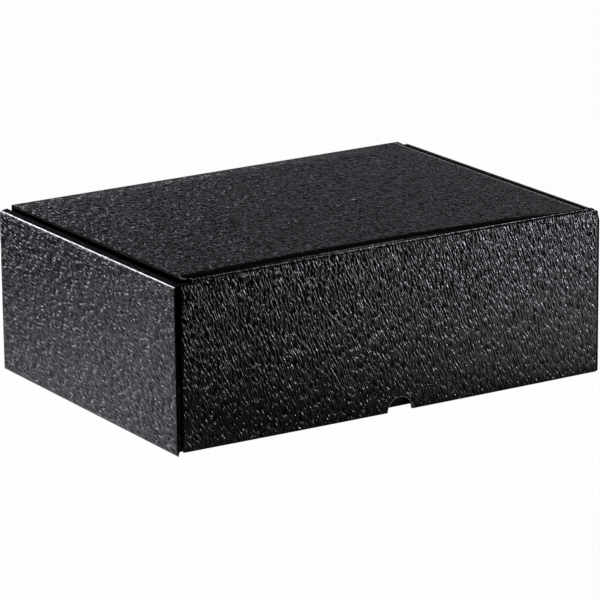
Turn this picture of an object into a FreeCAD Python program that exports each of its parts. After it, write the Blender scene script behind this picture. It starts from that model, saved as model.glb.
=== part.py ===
"""A folding presentation box in leather-grain laminated board, with a hinged lid and an outer front flap.

The box is one creased sheet. Each panel between two creases is a rigid piece, and each panel is a
sandwich of three plies: the embossed face paper outside, the fluted core, and the plain liner inside.
Every ply of every panel is its own solid.

Frame: millimetres, +Z up, front towards -Y, origin at the centre of the underside.
Every panel is drawn flat in its own (u, v) plane. w is its thickness, from the liner to the face paper.
"""
import FreeCAD, Part
import math
import os
import re
import Sketcher
from FreeCAD import Rotation, Vector

# Driving dimensions, in millimetres: name, value, what it is.
SIZES = (
    ("box_width", 330.0, "outer width over both side walls"),
    ("box_depth", 230.0, "outer depth, front ends of the side walls to the back wall"),
    ("wall_height", 111.4, "height of the side walls, over their top rims"),
    ("face_paper", 0.3, "thickness of the embossed face paper"),
    ("fluted_core", 1.1, "thickness of the fluted core"),
    ("liner", 0.2, "thickness of the plain liner"),
    ("flute_pitch", 3.2, "distance between two flutes of the core"),
    ("flute_paper", 0.2, "thickness of the paper that is bent into flutes"),
    ("rim_width", 5.5, "width of the rim over a doubled side wall"),
    ("lid_rise", 2.6, "height of the lid's outer face over the rims"),
    ("lid_width", 311.6, "width of the lid panel"),
    ("fold_play", 0.4, "play between panels that slide past each other"),
    ("flap_inset", 1.5, "distance of the flap's outer face behind the side walls' front ends"),
    ("flap_lift", 0.5, "height of the flap's lower edge over the table"),
    ("flap_play", 0.5, "play between the flap and the front wall"),
    ("relief_width", 6.5, "width of the relief cut at each upper corner of the flap"),
    ("relief_height", 3.0, "height of the relief cut at each upper corner of the flap"),
    ("notch_radius", 9.5, "radius of the half-round thumb notch"),
    ("ear_length", 28.0, "reach of a flap ear into the box, from the flap's outer face"),
    ("ear_top", 8.0, "distance of an ear's upper edge below the lid's outer face"),
    ("ear_slope", 4.0, "drop of an ear's upper edge towards its free end"),
    ("ear_end", 50.0, "distance of the free end's lower corner below the lid's outer face"),
    ("ear_foot", 66.0, "distance of an ear's lower edge below the lid's outer face"),
    ("ear_foot_length", 12.0, "reach of an ear's lower edge, which swings clear of the front wall"),
    ("entry_depth", 69.0, "depth of the open entries for the ears, below the lid's outer face"),
    ("corner_tab_length", 42.0, "length of the corner tabs held inside the side walls"),
    ("corner_tab_slope", 6.0, "taper of a corner tab's upper edge"),
    ("lock_length", 40.0, "length of a lock tab on an inner side wall"),
    ("lock_spacing", 110.0, "distance between the two lock tabs of a side"),
    ("lock_depth", 1.2, "depth that a lock tab reaches into the base"),
)

# Dimensions worked out from the driving ones.
DERIVED = {
    "board": "face_paper + fluted_core + liner",
    "half_width": "box_width / 2",
    "half_depth": "box_depth / 2",
    "wall_inside": "half_width - board",
    "inner_wall_inside": "half_width - rim_width",
    "inner_wall_outside": "inner_wall_inside + board",
    "rim_underside": "wall_height - board",
    "lid_top": "wall_height + lid_rise",
    "lid_underside": "lid_top - board",
    "half_lid": "lid_width / 2",
    "back_inside": "half_depth - board",
    "flap_outside": "half_depth - flap_inset",
    "flap_inside": "flap_outside - board",
    "half_flap": "inner_wall_inside - fold_play",
    "front_outside": "flap_inside - flap_play",
    "front_inside": "front_outside - board",
    "entry_floor": "lid_top - entry_depth",
    "corner_tab_outside": "(wall_inside + inner_wall_outside + board) / 2",
    "inner_wall_foot": "board + fold_play",
    "lock_low": "lock_spacing / 2 - lock_length / 2",
    "lock_high": "lock_spacing / 2 + lock_length / 2",
}

# How a panel's (u, v, w) directions lie in the box: w points out of the face paper.
FACING_UP = Rotation()
FACING_DOWN = Rotation(Vector(1, 0, 0), 180)
FACING_FRONT = Rotation(Vector(1, 0, 0), 90)
FACING_BACK = Rotation(Vector(0, 0, 1), 180) * FACING_FRONT
FACING_LEFT = Rotation(Vector(0, 0, 1), -90) * FACING_FRONT
FACING_RIGHT = Rotation(Vector(0, 0, 1), 90) * FACING_FRONT

# Ply name, its thickness, and the level it starts at above the panel's inner surface.
PLIES = (
    ("liner", "liner", "0"),
    ("fluted_core", "fluted_core", "liner"),
    ("face_paper", "face_paper", "liner + fluted_core"),
)

# One flute as shares of the pitch and of the core's height: foot, rising flank, crest, falling flank.
FLUTE = ((0.0, 0.0), (0.3, 0.0), (0.5, 1.0), (0.8, 1.0))


def expand(text):
    """Write a size expression in terms of the sheet's aliases."""
    aliases = {name for name, _, _ in SIZES}

    def one(match):
        word = match.group(0)
        if word in DERIVED:
            return "(" + expand(DERIVED[word]) + ")"
        if word in aliases:
            return "Sizes." + word
        raise KeyError(word)

    return re.sub(r"[a-z_]+", one, text)


def make_sheet(doc):
    sheet = doc.addObject("Spreadsheet::Sheet", "Sizes")
    for row, (name, value, meaning) in enumerate(SIZES, start=1):
        sheet.set("A%d" % row, str(value))
        sheet.set("B%d" % row, meaning)
        sheet.setAlias("A%d" % row, name)
    doc.recompute()
    return sheet


def rectangle(left, low, right, high):
    return [(left, low), (right, low), (right, high), (left, high)]


def symmetric(half):
    """Close an outline whose right half is given from its lower to its upper end."""
    mirrored = [("-(" + u + ")", v) for u, v in reversed(half)]
    return half + mirrored


def origin_plane(body):
    return next(item for item in body.Origin.OriginFeatures if item.Role == "XY_Plane")


def new_sketch(body, name, level):
    sketch = body.newObject("Sketcher::SketchObject", name)
    sketch.AttachmentSupport = [(origin_plane(body), "")]
    sketch.MapMode = "FlatFace"
    sketch.setExpression("AttachmentOffset.Base.z", expand(level))
    return sketch


def bind(sketch, constraint, text):
    index = sketch.addConstraint(constraint)
    sketch.setExpression("Constraints[%d]" % index, expand(text))


def draw_loop(sketch, corners):
    """Draw a closed loop of straight lines with every corner placed by expressions."""
    points = [Vector(*(float(sketch.evalExpression(expand(text))) for text in corner)) for corner in corners]
    count = len(points)
    first = sketch.GeometryCount
    for index in range(count):
        sketch.addGeometry(Part.LineSegment(points[index], points[(index + 1) % count]), False)
    for index in range(count):
        sketch.addConstraint(Sketcher.Constraint("Coincident", first + index, 2, first + (index + 1) % count, 1))
    for index, (u, v) in enumerate(corners):
        bind(sketch, Sketcher.Constraint("DistanceX", -1, 1, first + index, 1, points[index].x), u)
        bind(sketch, Sketcher.Constraint("DistanceY", -1, 1, first + index, 1, points[index].y), v)


def punch_round(body, level, centre_v, radius):
    """Punch a round hole centred on u = 0 through the whole board."""
    sketch = new_sketch(body, body.Name + "_punch", level)
    middle = Vector(0, float(sketch.evalExpression(expand(centre_v))))
    size = float(sketch.evalExpression(expand(radius)))
    circle = sketch.addGeometry(Part.Circle(middle, Vector(0, 0, 1), size), False)
    sketch.addConstraint(Sketcher.Constraint("PointOnObject", circle, 3, -2))
    bind(sketch, Sketcher.Constraint("DistanceY", -1, 1, circle, 3, middle.y), centre_v)
    bind(sketch, Sketcher.Constraint("Radius", circle, size), radius)
    before = body.Tip
    pocket = body.newObject("PartDesign::Pocket", body.Name + "_notch")
    pocket.Profile = sketch
    pocket.Type = "ThroughAll"
    pocket.Midplane = True
    body.Document.recompute()
    if pocket.Shape.Volume > before.Shape.Volume - 1.0:
        raise RuntimeError(body.Label + ": the notch cuts nothing")


def flute_line(start, end, pitch, low, high):
    """The folded line of the flutes, as (across, w) points from start to beyond end."""
    line = []
    flutes = math.ceil((end - start) / pitch)
    for index in range(flutes):
        for share, height in FLUTE:
            line.append((start + (index + share) * pitch, low + height * (high - low)))
    line.append((start + flutes * pitch, low))
    return line


def corrugate(doc, slab, level, along):
    """Turn a core's plain slab into a sheet of flutes that run along u or v."""
    sheet = doc.getObject("Sizes")
    pitch, paper, height = sheet.flute_pitch, sheet.flute_paper, sheet.fluted_core
    floor = float(slab.evalExpression(expand(level)))
    flat = slab.Shape.copy()
    flat.Placement = FreeCAD.Placement()
    box = flat.BoundBox
    u_range, v_range = (box.XMin, box.XMax), (box.YMin, box.YMax)
    across, run = (u_range, v_range) if along == "v" else (v_range, u_range)
    start = across[0] - pitch / 2
    lower = flute_line(start, across[1], pitch, floor, floor + height - paper)
    upper = [(place, w + paper) for place, w in lower]
    ring = lower + upper[::-1] + lower[:1]
    if along == "v":
        profile = [Vector(place, run[0], w) for place, w in ring]
        way = Vector(0, run[1] - run[0], 0)
    else:
        profile = [Vector(run[0], place, w) for place, w in ring]
        way = Vector(run[1] - run[0], 0, 0)
    flutes = doc.addObject("Part::Feature", slab.Name + "_flutes")
    flutes.Shape = Part.Face(Part.makePolygon(profile)).extrude(way)
    flutes.Placement = slab.Placement
    core = doc.addObject("Part::Common", slab.Name.replace("_slab", ""))
    core.Base = slab
    core.Tool = flutes
    return core


def make_panel(doc, name, rotation, place, loops, notch=None, flutes="v"):
    """Make the three plies of one panel. place is where (u, v, w) = 0 lies in the box."""
    plies = []
    for ply, thickness, level in PLIES:
        is_core = ply == "fluted_core"
        body = doc.addObject("PartDesign::Body", name + "_" + ply + ("_slab" if is_core else ""))
        body.Placement.Rotation = rotation
        for axis, text in zip("xyz", place):
            body.setExpression("Placement.Base." + axis, expand(text))
        sketch = new_sketch(body, body.Name + "_outline", level)
        for loop in loops:
            draw_loop(sketch, loop)
        pad = body.newObject("PartDesign::Pad", body.Name + "_sheet")
        pad.Profile = sketch
        pad.setExpression("Length", expand(thickness))
        doc.recompute()
        if notch:
            punch_round(body, level, *notch)
        node = corrugate(doc, body, level, flutes) if is_core else body
        node.Label = node.Name
        plies.append(node)
    return plies


def mirror_plies(doc, plies):
    """Make the right-hand twins of left-hand plies."""
    twins = []
    for ply in plies:
        twin = doc.addObject("Part::Mirroring", ply.Name.replace("left", "right"))
        twin.Label = twin.Name
        twin.Source = ply
        twin.Normal = Vector(1, 0, 0)
        twins.append(twin)
    return twins


def make_tray(doc):
    """The base, the walls and the corner tabs: everything that stands still."""
    slots = []
    for side in ("", "-"):
        for end in ("", "-"):
            near = side + "(inner_wall_inside - fold_play)"
            far = side + "(inner_wall_outside + fold_play)"
            low = end + "(lock_low - fold_play)"
            high = end + "(lock_high + fold_play)"
            slots.append(rectangle(near, low, far, high))
    base = rectangle("-(wall_inside)", "-(back_inside)", "wall_inside", "front_inside")
    parts = make_panel(doc, "base", FACING_DOWN, ("0", "0", "board"), [base] + slots)

    back = symmetric([
        ("wall_inside", "0"),
        ("wall_inside", "rim_underside - fold_play"),
        ("half_lid", "rim_underside - fold_play"),
        ("half_lid", "lid_top"),
    ])
    parts += make_panel(doc, "back_wall", FACING_BACK, ("0", "back_inside", "0"), [back])

    front = symmetric([
        ("wall_inside", "0"),
        ("wall_inside", "entry_floor"),
        ("half_flap - board - fold_play", "entry_floor"),
        ("half_flap - board - fold_play", "lid_underside - lid_rise / 2"),
    ])
    parts += make_panel(doc, "front_wall", FACING_FRONT, ("0", "-(front_inside)", "0"), [front])

    outer = rectangle("-(half_depth)", "0", "half_depth", "rim_underside")
    left = make_panel(
        doc, "left_outer_wall", FACING_LEFT, ("-(wall_inside)", "0", "0"), [outer], flutes="u",
    )

    rim = rectangle("-(half_width)", "-(half_depth)", "-(inner_wall_inside)", "back_inside")
    left += make_panel(doc, "left_rim", FACING_UP, ("0", "0", "rim_underside"), [rim])

    front_end = "-(front_inside - fold_play)"
    back_end = "back_inside - fold_play"
    foot = "inner_wall_foot"
    tip = "board - lock_depth"
    inner = [
        (front_end, foot),
        ("-(lock_high)", foot), ("-(lock_high)", tip), ("-(lock_low)", tip), ("-(lock_low)", foot),
        ("lock_low", foot), ("lock_low", tip), ("lock_high", tip), ("lock_high", foot),
        (back_end, foot),
        (back_end, "rim_underside"),
        (front_end, "rim_underside"),
    ]
    left += make_panel(
        doc, "left_inner_wall", FACING_RIGHT, ("-(inner_wall_outside)", "0", "0"), [inner], flutes="u",
    )

    tab_face = "-(corner_tab_outside - board)"
    tab_foot = "board + fold_play"
    front_tab = [
        ("front_inside", tab_foot),
        ("front_inside", "entry_floor"),
        ("front_inside - corner_tab_length", "entry_floor - corner_tab_slope"),
        ("front_inside - corner_tab_length", tab_foot + " + corner_tab_slope"),
    ]
    left += make_panel(doc, "left_front_tab", FACING_LEFT, (tab_face, "0", "0"), [front_tab])

    back_tab = [
        ("-(back_inside)", tab_foot),
        ("-(back_inside) + corner_tab_length", tab_foot + " + corner_tab_slope"),
        ("-(back_inside) + corner_tab_length", "rim_underside - fold_play - corner_tab_slope"),
        ("-(back_inside)", "rim_underside - fold_play"),
    ]
    left += make_panel(doc, "left_back_tab", FACING_LEFT, (tab_face, "0", "0"), [back_tab])
    return parts + left + mirror_plies(doc, left)


def make_lid(doc):
    outline = rectangle("-(half_lid)", "-(flap_inside)", "half_lid", "back_inside")
    return make_panel(doc, "lid", FACING_UP, ("0", "0", "lid_underside"), [outline])


def make_flap(doc):
    """The outer front flap with its relief cuts and thumb notch, and the two ears folded back from it."""
    outline = symmetric([
        ("half_flap", "flap_lift"),
        ("half_flap", "lid_top - relief_height"),
        ("half_flap - relief_width", "lid_top - relief_height"),
        ("half_flap - relief_width", "lid_top"),
    ])
    parts = make_panel(
        doc, "front_flap", FACING_FRONT, ("0", "-(flap_inside)", "0"), [outline],
        notch=("flap_lift", "notch_radius"),
    )
    ear = [
        ("flap_inside", "lid_top - ear_foot"),
        ("flap_inside", "lid_top - ear_top"),
        ("flap_outside - ear_length", "lid_top - ear_top - ear_slope"),
        ("flap_outside - ear_length", "lid_top - ear_end"),
        ("flap_outside - ear_foot_length", "lid_top - ear_foot"),
    ]
    left = make_panel(doc, "left_flap_ear", FACING_LEFT, ("-(half_flap - board)", "0", "0"), [ear])
    return parts + left + mirror_plies(doc, left)


def check_document(doc, nodes):
    for item in doc.Objects:
        if {"Invalid", "Error"} & set(item.State):
            raise RuntimeError("%s: %s" % (item.Label, item.State))
    for node in nodes:
        shape = node.Shape
        if shape.isNull() or not shape.isValid() or len(shape.Solids) != 1:
            raise RuntimeError(node.Label + ": not one valid solid")


def main():
    doc = FreeCAD.newDocument("presentation_box")
    make_sheet(doc)
    nodes = make_tray(doc) + make_lid(doc) + make_flap(doc)
    doc.recompute()
    check_document(doc, nodes)
    os.makedirs("parts", exist_ok=True)
    for node in nodes:
        node.Shape.exportStep("parts/%s.step" % node.Label)
    print(len(nodes), "nodes written")


main()
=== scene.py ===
"""Looks of a folding presentation box: one creased sheet of embossed black board with a hinged lid.

Every board is drawn flat, in the sheet's own coordinates, then folded round its creases, bowed and
embossed. Lengths are in metres, x to the right, y to the back, z up.
"""
import math

import bpy
import numpy as np
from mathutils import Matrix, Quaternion, Vector
from mathutils.geometry import delaunay_2d_cdt


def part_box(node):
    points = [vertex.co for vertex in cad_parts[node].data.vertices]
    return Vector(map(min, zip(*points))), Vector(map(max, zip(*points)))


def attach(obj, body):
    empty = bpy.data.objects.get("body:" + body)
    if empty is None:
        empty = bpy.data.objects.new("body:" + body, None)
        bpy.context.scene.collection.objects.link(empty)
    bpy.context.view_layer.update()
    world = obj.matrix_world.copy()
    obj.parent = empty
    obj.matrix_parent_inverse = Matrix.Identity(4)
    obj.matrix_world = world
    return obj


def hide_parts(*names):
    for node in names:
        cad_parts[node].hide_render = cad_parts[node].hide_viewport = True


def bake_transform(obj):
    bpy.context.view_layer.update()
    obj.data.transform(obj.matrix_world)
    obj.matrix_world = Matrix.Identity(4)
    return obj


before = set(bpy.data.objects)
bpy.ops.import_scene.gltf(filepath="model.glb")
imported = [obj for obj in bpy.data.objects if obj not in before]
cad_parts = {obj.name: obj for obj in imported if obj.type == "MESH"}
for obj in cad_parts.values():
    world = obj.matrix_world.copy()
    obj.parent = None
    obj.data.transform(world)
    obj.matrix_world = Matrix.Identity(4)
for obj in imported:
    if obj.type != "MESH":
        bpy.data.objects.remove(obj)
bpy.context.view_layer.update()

MM = 0.001

# ---- places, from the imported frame

PLIES = ("face_paper", "fluted_core", "liner")


def columns(*values):
    """One row per point from a list of values per axis."""
    return np.stack(values, axis=1)


def nodes_of(*panels):
    return [f"{panel}_{ply}" for panel in panels for ply in PLIES]


def extent(panel):
    """Lowest and highest corner of a panel, all plies included."""
    lows, highs = zip(*[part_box(node) for node in nodes_of(panel)])
    return Vector([min(axis) for axis in zip(*lows)]), Vector([max(axis) for axis in zip(*highs)])


BASE_LOW, BASE_HIGH = extent("base")
OUTER_LOW, OUTER_HIGH = extent("right_outer_wall")
RIM_LOW, RIM_HIGH = extent("right_rim")
INNER_LOW, INNER_HIGH = extent("right_inner_wall")
FRONT_LOW, FRONT_HIGH = extent("front_wall")
BACK_HIGH = extent("back_wall")[1]
FRONT_TAB_LOW, FRONT_TAB_HIGH = extent("right_front_tab")
BACK_TAB_LOW, BACK_TAB_HIGH = extent("right_back_tab")
LID_HIGH = extent("lid")[1]
FLAP_LOW, FLAP_HIGH = extent("front_flap")
EAR_LOW, EAR_HIGH = extent("right_flap_ear")

BOARD = BASE_HIGH.z - BASE_LOW.z
FACE_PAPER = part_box("lid_face_paper")[1].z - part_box("lid_face_paper")[0].z
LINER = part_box("lid_liner")[1].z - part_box("lid_liner")[0].z
CORE = BOARD - FACE_PAPER - LINER

# Details that the boxes of the nodes don't give, as in the CAD model.
FLUTE_PITCH = 3.2 * MM
FLUTE_PAPER = 0.2 * MM
LOCK_LENGTH = 40 * MM
LOCK_SPACING = 110 * MM
FOLD_PLAY = 0.4 * MM
NOTCH_RADIUS = 9.5 * MM
NOTCH_SHIFT = 4 * MM
LEFT_RELIEF = 9.5 * MM
RIGHT_RELIEF = 2.6 * MM
CORNER_TAB_SLOPE = 6 * MM
EAR_SLOPE = 4 * MM
EAR_FOOT_LENGTH = 12 * MM
EAR_END_RISE = 16 * MM
SIDE_GAP = 0.1 * MM

# How a cut edge is stepped, and how finely a board is meshed.
EDGE_STEP = 0.8 * MM
EDGE_RECESS = 0.45 * MM
JOINT_RECESS = 0.02 * MM
CORE_CLEARANCE = 0.02 * MM
FLUTE_SHARE = 0.1
NOTCH_STEPS = 24
SHARP_ANGLE = math.radians(38)

# Shape of the folds.
CREASE_RADIUS = 1.1 * MM
ROLL_RADIUS = 1.7 * MM
GROOVE_PLACE = 2.1 * MM
GROOVE_DEPTH = 0.45 * MM
GROOVE_WIDTH = 0.5 * MM
GROOVE_TOP = 0.8 * MM
RIM_RISE = 1.0 * MM
SIDE_RADIUS = 0.8 * MM
TIGHT_RADIUS = 0.15 * MM
EAR_RADIUS = 2.0 * MM
UNDER_RADIUS = 3.0 * MM
BACK_CREASE_REACH = 1.6 * MM
SHOULDER_REACH = 7 * MM
FLAP_CREASE_REACH = 3 * MM
LEFT_CUT_FROM, LEFT_CUT_TO, RIGHT_CUT_FROM = 0.6, 0.95, 0.5
MITRE_REACH = 6 * MM
MITRE_MARGIN = 1 * MM

# Where the right side wall's front top corner is worn away.
WORN_START = 6 * MM
WORN_TURN = 2 * MM
WORN_DEPTH = 1.5 * MM
WORN_TOP = 3 * MM

# Strength of the grain, and of the rubbing together with painted light: 1 is bare fibres, also used as
# painted highlights; -1 is painted shade, black and without shine.
SIDE_GRAIN = 1.4
RIM_GRAIN = 0.35
LID_GRAIN = 1.3
SHOULDER_GRAIN = 0.12
SIDE_GRAIN_TURN = math.radians(-42)
EDGE_FADE = 0.6 * MM
EDGE_GRAIN = 0.4
CREASE_GRAIN = 0.1
EDGE_RUB_WIDTH = 0.5 * MM
WALL_RUB = 0.4
BACK_RUB = 0.6
FLAP_RUB = 0.3
NOTCH_RUB, NOTCH_RUB_WIDTH = 1.1, 0.45 * MM
SIDE_EDGE_RUB = 0.3
# The left rim's crease shows bare fibres from rubbing and a painted highlight; on the right the rubbing is
# lighter.
FOOT_RUB, LEFT_RIM_RUB_AND_HIGHLIGHT, RIGHT_RIM_RUB, INNER_RUB = 0.3, 1.0, 0.4, 0.2
# Painted shade: the right rim is painted black without shine.
RIM_PAINTED_SHADE, RIM_MARGIN = -0.8, 0.4 * MM
# Painted shade: a dark line just below the outer top crease of each side.
UNDER_RIM_PAINTED_SHADE, UNDER_RIM_DROP, UNDER_RIM_WIDTH = 0.8, 1.6 * MM, 0.7 * MM
# Along the lid's right edge: a pale line of painted highlight, and a band of painted shade that fades in over
# the next width.
PAINTED_EDGE_HIGHLIGHT, PAINTED_EDGE_HIGHLIGHT_WIDTH, PAINTED_EDGE_HIGHLIGHT_END = 0.95, 0.8 * MM, 0.3
BAND_FADE = 0.4 * MM
SHOULDER_FADE = 1.2 * MM
ROLL_START, ROLL_FADE, ROLL_EDGE_GRAIN = 0.2 * MM, 1.6 * MM, 0.3
# Painted shade on the front crease: a dark shoulder and a darker line just before the roll.
SHOULDER_PAINTED_SHADE, SHOULDER_PAINTED_SHADE_FADE = 0.55, 1.5 * MM
PAINTED_LINE_DROP, PAINTED_LINE_WIDTH = 0.9 * MM, 0.65 * MM
LEFT_CUT_RUB, RIGHT_CUT_RUB = 1.0, 0.5

# ---- lines and cross-sections


def rounded(corners, radius, steps=6):
    """A line through corners whose inner corners are turned into arcs."""
    points = [corners[0]]
    for before, corner, after in zip(corners, corners[1:], corners[2:]):
        enter = (before - corner) / np.linalg.norm(before - corner)
        leave = (after - corner) / np.linalg.norm(after - corner)
        half = math.acos(np.clip(enter @ leave, -1, 1)) / 2
        middle = (enter + leave) / np.linalg.norm(enter + leave)
        centre = corner + middle * radius / math.sin(half)
        first = corner + enter * radius / math.tan(half) - centre
        last = corner + leave * radius / math.tan(half) - centre
        turn = math.pi - 2 * half
        for step in range(steps + 1):
            share = step / steps
            spoke = (math.sin((1 - share) * turn) * first + math.sin(share * turn) * last) / math.sin(turn)
            points.append(centre + spoke)
    points.append(corners[-1])
    return np.array(points)


class Line:
    """A line of points that is read by the distance along it."""

    def __init__(self, points):
        self.points = np.array(points)
        lengths = np.linalg.norm(np.diff(self.points, axis=0), axis=1)
        self.at = np.concatenate(([0], np.cumsum(lengths)))

    def point(self, station):
        return columns(*[np.interp(station, self.at, self.points[:, axis]) for axis in (0, 1)])

    def station(self, place):
        """Distance along the line to its nearest point to place."""
        starts, steps = self.points[:-1], np.diff(self.points, axis=0)
        lengths = np.einsum("ij,ij->i", steps, steps)
        shares = np.clip(np.einsum("ij,ij->i", place - starts, steps) / lengths, 0, 1)
        gaps = np.linalg.norm(starts + shares[:, None] * steps - place, axis=1)
        nearest = int(np.argmin(gaps))
        return self.at[nearest] + shares[nearest] * math.sqrt(lengths[nearest])


class Section:
    """A board's cross-section: an outer line, an inner line on its left, and which stations face each other.

    A slant moves the inner line's end on from the outer line's end, for a mitred joint. CLEAR is how far
    from a corner the two lines run parallel again.
    """

    CLEAR = 3.5 * MM

    def __init__(self, corners, slants=(0, 0), radius=CREASE_RADIUS):
        corners = np.array(corners, float)
        legs = np.diff(corners, axis=0)
        lengths = np.linalg.norm(legs, axis=1)
        along = legs / lengths[:, None]
        inwards = columns(-along[:, 1], along[:, 0])
        inner = [corners[0] + inwards[0] * BOARD - along[0] * slants[0]]
        for index in range(1, len(corners) - 1):
            both = inwards[index - 1] + inwards[index]
            inner.append(corners[index] + both / (1 + inwards[index - 1] @ inwards[index]) * BOARD)
        inner.append(corners[-1] + inwards[-1] * BOARD + along[-1] * slants[1])
        self.outer = Line(rounded(corners, radius))
        self.inner = Line(rounded(np.array(inner), TIGHT_RADIUS))
        self.length = self.outer.at[-1]
        self.creases = [self.outer.station(corner) for corner in corners[1:-1]]
        pairs = [(0, 0), (self.length, self.inner.at[-1])]
        pairs += [(self.outer.station(a), self.inner.station(b)) for a, b in zip(corners[1:-1], inner[1:-1])]
        last = len(legs) - 1
        for index, length in enumerate(lengths):
            if length > 2 * self.CLEAR:
                places = [self.CLEAR, length - self.CLEAR]
            elif 0 < index < last:
                places = [length / 2]
            else:
                places = []
            for place in places:
                spot = corners[index] + along[index] * place
                pairs.append((self.outer.station(spot), self.inner.station(spot + inwards[index] * BOARD)))
        self.pairs = np.array(sorted(pairs))

    def point(self, station, depth):
        """Points at a depth below the outer face."""
        outer = self.outer.point(station)
        inner = self.inner.point(np.interp(station, self.pairs[:, 0], self.pairs[:, 1]))
        return outer + (inner - outer) * (np.asarray(depth) / BOARD)[..., None]


# ---- flat outlines


def places_of(loop):
    return np.array([corner[:2] for corner in loop])


def side_distance(points, loops, kinds=("cut", "joint")):
    """Distance from each point to the nearest side of the given kinds."""
    nearest = np.full(len(points), np.inf)
    for loop in loops:
        corners = places_of(loop)
        for corner, start, end in zip(loop, corners, np.roll(corners, -1, axis=0)):
            if corner[2] not in kinds:
                continue
            step = end - start
            share = np.clip((points - start) @ step / (step @ step), 0, 1)
            nearest = np.minimum(nearest, np.linalg.norm(points - start - share[:, None] * step, axis=1))
    return nearest


def inside(points, loops):
    """True for each point within the first loop and outside the others."""
    odd = np.zeros(len(points), bool)
    for loop in loops:
        corners = places_of(loop)
        for (x0, y0), (x1, y1) in zip(corners, np.roll(corners, -1, axis=0)):
            if y0 == y1:
                continue
            crosses = (y0 > points[:, 1]) != (y1 > points[:, 1])
            odd ^= crosses & (points[:, 0] < (x1 - x0) * (points[:, 1] - y0) / (y1 - y0) + x0)
    return odd


def sample_loop(loop, bends):
    """Points along a loop, with one where each bend crosses it, and whether each lies on a joint side."""
    points, joints = [], []
    count = len(loop)
    for index in range(count):
        start, end = loop[index], loop[(index + 1) % count]
        a, b = np.array(start[:2]), np.array(end[:2])
        steps = max(1, math.ceil(np.linalg.norm(b - a) / EDGE_STEP - 1e-6))
        shares = list(np.arange(steps) / steps)
        if abs(b[0] - a[0]) > EDGE_STEP:
            crossed = (bends - a[0]) / (b[0] - a[0])
            inner = crossed[(crossed > 0) & (crossed < 1)]
            gap = 0.3 * EDGE_STEP / np.linalg.norm(b - a)
            shares = [0.0] + [s for s in shares[1:] if not len(inner) or np.abs(inner - s).min() > gap]
            shares = sorted(shares + list(inner))
        before = loop[index - 1][2]
        for share in shares:
            points.append(a + (b - a) * share)
            joints.append(start[2] == "joint" or (share == 0 and before == "joint"))
    return np.array(points), np.array(joints)


def unit(rows):
    return rows / np.linalg.norm(rows, axis=1)[:, None]


def inward_normals(points):
    """Unit directions into the board at each point of a closed, counter-clockwise ring."""
    way = unit(unit(points - np.roll(points, 1, axis=0)) + unit(np.roll(points, -1, axis=0) - points))
    return columns(-way[:, 1], way[:, 0])


def lattice(loops, step, bends):
    """Points of a triangular lattice inside the loops, with extra rows where the sheet bends."""
    corners = places_of(loops[0])
    low, high = corners.min(axis=0), corners.max(axis=0)
    row_step = step * math.sqrt(3) / 2
    rows = list(np.arange(low[0] + row_step / 2, high[0], row_step))
    if len(bends):
        rows = [row for row in rows if np.abs(bends - row).min() > row_step / 3] + list(bends)
    points = []
    for index, row in enumerate(sorted(rows)):
        shift = step * (0.25 + 0.5 * (index % 2))
        across = np.arange(low[1] + shift, high[1], step)
        points.append(columns(np.full(len(across), row), across))
    points = np.concatenate(points)
    points = points[inside(points, loops)]
    return points[side_distance(points, loops) > 0.4 * min(step, EDGE_STEP * 1.5)]


def triangulate(points, edges, loops):
    """Triangles between the points that keep the edges and stay inside the loops."""
    spots = [Vector(point) for point in (points / MM).tolist()]
    _, _, faces, origins, _, _ = delaunay_2d_cdt(spots, edges, [], 0, 1e-7)
    first = np.array([origin[0] for origin in origins])
    triangles = first[np.array(faces)]
    centres = points[triangles].mean(axis=1)
    return triangles[inside(centres, loops)]


# ---- boards


def new_object(name, data):
    thing = bpy.data.objects.new(name, data)
    bpy.context.scene.collection.objects.link(thing)
    return thing


LEATHER, LINING, CUT_PAPER, CUT_CORE = range(4)


def board_levels(across, recess):
    """How a cut edge steps through the plies: (distance in from the edge, depth) for each level."""
    middle = FACE_PAPER + CORE / 2
    swing = (CORE - FLUTE_PAPER) / 2
    wave = middle + swing * np.sin(2 * math.pi * across / FLUTE_PITCH)
    zero = np.zeros(len(across))
    under_paper, over_liner = zero + FACE_PAPER, zero + BOARD - LINER
    upper, lower = wave - FLUTE_PAPER / 2, wave + FLUTE_PAPER / 2
    upper = np.maximum(upper, FACE_PAPER + CORE_CLEARANCE)
    lower = np.minimum(lower, BOARD - LINER - CORE_CLEARANCE)
    flute = recess * FLUTE_SHARE
    return [
        (zero, zero), (zero, under_paper), (recess, under_paper), (recess, upper), (flute, upper),
        (flute, lower), (recess, lower), (recess, over_liner), (zero, over_liner), (zero, zero + BOARD),
    ]


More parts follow.
